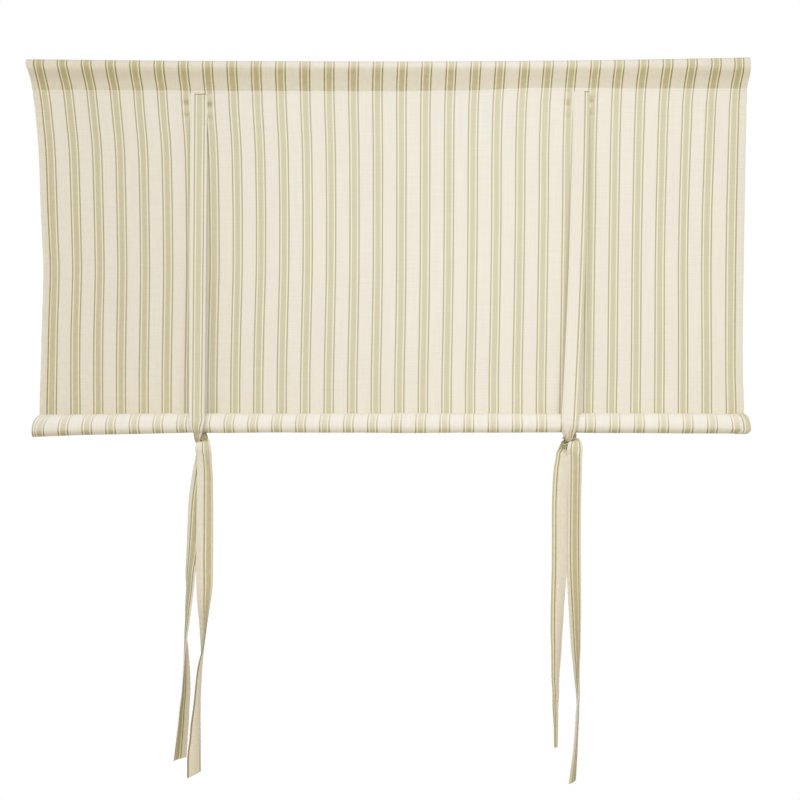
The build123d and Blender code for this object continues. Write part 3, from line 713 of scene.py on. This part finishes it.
for key, parts in ties.items():
    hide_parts(f"{key}_tie")


# The sewing thread: lock stitches of spun thread along the pocket seam, the side hems and one edge
# of each tie, and a zigzag bar that holds the top of each tie. Each stitch sinks a little into the cloth.
thread_finish, tree, shader = new_finish("sewing_thread")
place = add_node(tree, "TexCoord", {}).outputs["Object"]
twist = add_node(tree, "TexNoise", {"Vector": place, "Scale": 2600.0})
thread_colour = add_node(tree, "ValToRGB", {"Fac": twist.outputs["Fac"]})
thread_colour.color_ramp.elements[0].position = 0.3
thread_colour.color_ramp.elements[0].color = (0.56, 0.51, 0.41, 1.0)
thread_colour.color_ramp.elements[1].position = 0.7
thread_colour.color_ramp.elements[1].color = (0.74, 0.69, 0.58, 1.0)
set_inputs(tree, shader, {
    "Base Color": thread_colour.outputs["Color"], "Roughness": 0.7, "Sheen Weight": 0.2,
})

# the bar tacks' finish: the thread coloured near black, a painted shadow for the gap under each tie's top
# edge
tack_shadow_finish = thread_finish.copy()
tack_shadow_finish.name = "tack_painted_shadow"
tack_shadow_colours = tack_shadow_finish.node_tree.nodes["Color Ramp"].color_ramp.elements
tack_shadow_colours[0].color = (0.09, 0.075, 0.045, 1.0)
tack_shadow_colours[1].color = (0.20, 0.175, 0.115, 1.0)

bpy.ops.object.select_all(action="DESELECT")
bpy.ops.mesh.primitive_uv_sphere_add(segments=6, ring_count=4, radius=0.5)
one_stitch = bpy.context.object
bpy.ops.object.mode_set(mode="EDIT")
bpy.ops.mesh.select_all(action="SELECT")
bpy.ops.transform.rotate(value=math.pi / 2, orient_axis="Y", center_override=(0, 0, 0))
bpy.ops.object.mode_set(mode="OBJECT")
stitch_verts = np.array([v.co[:] for v in one_stitch.data.vertices])
stitch_faces = [list(p.vertices) for p in one_stitch.data.polygons]
bpy.data.objects.remove(one_stitch)


def stitch_line(name, centres, alongs, ups, length, thick, node=None, finish=thread_finish):
    """A row of stitches as one piece: copies of the one stitch, laid along the seam on the cloth."""
    alongs = alongs / np.linalg.norm(alongs, axis=1)[:, None]
    ups = ups / np.linalg.norm(ups, axis=1)[:, None]
    sides = np.cross(ups, alongs)
    body = (stitch_verts[None, :, 0, None] * length * alongs[:, None, :]
            + stitch_verts[None, :, 1, None] * thick * sides[:, None, :]
            + stitch_verts[None, :, 2, None] * thick * ups[:, None, :] + centres[:, None, :])
    faces = [[corner + n * len(stitch_verts) for corner in face]
             for n in range(len(centres)) for face in stitch_faces]
    mesh = bpy.data.meshes.new(name)
    mesh.from_pydata(body.reshape(-1, 3).tolist(), [], faces)
    piece = bpy.data.objects.new(name, mesh)
    bpy.context.scene.collection.objects.link(piece)
    mesh.materials.append(finish)
    mesh.shade_smooth()
    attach(piece, "root")
    if node:
        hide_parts(node)
    return piece


stitch_length, stitch_thick, stitch_pitch = 0.0028, 0.0005, 0.0036
hem_seam = half_width - 0.013
seam_row = pocket_rows + int(np.argmin(np.abs(panel_heights - (seam_z - 0.002))))
seam_across = np.arange(-half_width + 0.004, half_width - 0.004, stitch_pitch)
seam_points = cloth_points(seam_across[None, :], np.array([seam_row]))[0]
seam_up = np.repeat([[0.0, -1.0, 0.0]], len(seam_points), axis=0)
stitch_line(
    "pocket_seam_stitches", seam_points + seam_up * cloth_half, np.gradient(seam_points, axis=0), seam_up,
    stitch_length, stitch_thick, "pocket_seam_thread")
hem_span = np.arange(pocket_rows + 4, panel_rows)
for side, edge in (("left", -1), ("right", 1)):
    line = cloth_points(np.array([[edge * hem_seam]]), hem_span)[:, 0]
    reach = np.concatenate([[0], np.cumsum(np.linalg.norm(np.diff(line, axis=0), axis=1))])
    marks = np.arange(0.0, reach[-1] - 0.004, stitch_pitch)
    line = np.stack([np.interp(marks, reach, line[:, k]) for k in range(3)], axis=1)
    up = np.repeat([[0.0, -1.0, 0.0]], len(line), axis=0)
    stitch_line(
        f"{side}_hem_stitches", line + up * cloth_half, np.gradient(line, axis=0), up,
        stitch_length, stitch_thick, f"{side}_hem_thread")

tack_length, tack_thick, tack_pitch = 0.0022, 0.0015, 0.0024
tack_starts, tack_end = {"left": -0.0055, "right": 0.0060}, 0.0125
for key, (tie, seam, facing, travel, half, length, width) in ties.items():
    side, face = key.split("_")
    marks = np.arange(0.012, length[-1] - 0.003, stitch_pitch)
    marks = marks[np.interp(marks, length, width) > 0.86]
    line, up, along = (np.stack([np.interp(marks, length, field[:, k]) for k in range(3)], axis=1)
                       for field in (seam, facing, travel))
    out = np.interp(marks, length, half)[:, None]
    edge_stitches = stitch_line(
        f"{key}_tie_stitches", np.concatenate([line + up * out, line - up * out]),
        np.concatenate([along, along]), np.concatenate([up, -up]), stitch_length, stitch_thick)
    # the bar: a row of short stitches, up and down by turns, close under the top edge, in the near-black
    # finish that paints the shadow there
    outward = -1 if face == "front" else 1
    pair = pairs[side]
    dots = np.arange(tack_starts[side], tack_end, tack_pitch)
    dot_z = tie_top_z + (pair["lift"] if outward < 0 else 0.0) - 0.0003 - 0.0004 * (np.arange(len(dots)) % 2)
    centres = np.stack([pair["top"] + dots, np.full(len(dots), outward * 0.0016), dot_z], axis=1)
    along = np.repeat([[1.0, 0.0, 0.0]], len(dots), axis=0)
    tack_up = np.repeat([[0.0, float(outward), 0.0]], len(dots), axis=0)
    tack = stitch_line(f"{key}_bar_tack_stitches", centres, along, tack_up, tack_length, tack_thick,
                       f"{key}_bar_tack", tack_shadow_finish)


# The studio: a pale floor two metres below the rod and white all around, a broad sun from the front above,
# a little from the left, a small panel in front on the right and a warm glow from the floor. It is not
# part of the object.
bpy.ops.object.select_all(action="DESELECT")
bpy.ops.mesh.primitive_plane_add(size=1.0, location=(0.0, 0.0, -2.0))
floor = bpy.context.object
floor.name = "studio_floor"
floor.scale = (6.0, 4.0, 1.0)
bpy.ops.object.transform_apply(location=True, rotation=True, scale=True)
floor_paint, tree, shader = new_finish("studio_floor")
set_inputs(tree, shader, {"Base Color": (0.88, 0.88, 0.87, 1.0), "Roughness": 0.9})
floor.data.materials.append(floor_paint)

world = bpy.data.worlds.new("white_surround")
bpy.context.scene.world = world
world.use_nodes = True
sky = world.node_tree
rays = add_node(sky, "LightPath", {})
seen = reckon(sky, "MAXIMUM", rays.outputs["Is Camera Ray"], rays.outputs["Is Glossy Ray"])
through = reckon(sky, "MAXIMUM", seen, rays.outputs["Is Transmission Ray"])
level = add_node(sky, "MapRange", {"Value": through, "To Min": 0.45, "To Max": 1.0})
set_inputs(sky, sky.nodes["Background"], {"Color": (1.0, 1.0, 1.0, 1.0), "Strength": level.outputs["Result"]})


def studio_light(name, kind, energy, colour, place, turn):
    """Adds a light of the studio, and returns the lamp for the sizes that its kind has."""
    lamp = bpy.data.lights.new(name, kind)
    lamp.energy = energy
    lamp.color = colour
    holder = bpy.data.objects.new(name, lamp)
    bpy.context.scene.collection.objects.link(holder)
    holder.location = place
    holder.rotation_euler = turn
    return lamp


lamp_white, floor_glow = (1.0, 0.99, 0.97), (1.0, 0.86, 0.66)
sun_turn = Vector((0.12, 0.87, -0.48)).to_track_quat("-Z", "Y").to_euler()
sun = studio_light("key_light", "SUN", 1.47, lamp_white, (0.0, 0.0, 0.0), sun_turn)
sun.angle = math.radians(55)
panel = studio_light("fill_light", "AREA", 4.5, lamp_white, (0.35, -1.6, -0.25), (math.pi / 2, 0.0, 0.0))
panel.size = 0.7
bounce = studio_light("floor_bounce", "AREA", 3.0, floor_glow, (0.05, -0.15, -1.75), (math.pi, 0.0, 0.0))
bounce.shape = "RECTANGLE"
bounce.size = 1.2
bounce.size_y = 0.3

lens = bpy.data.cameras.new("camera")
lens.sensor_width = 36.0
lens.lens = 81.3
camera = bpy.data.objects.new("camera", lens)
bpy.context.scene.collection.objects.link(camera)
camera.location = (0.0199, -3.0, -0.5512)
camera.rotation_euler = (math.pi / 2, 0.0, 0.0)
bpy.context.scene.camera = camera
bpy.context.scene.view_settings.view_transform = "Standard"
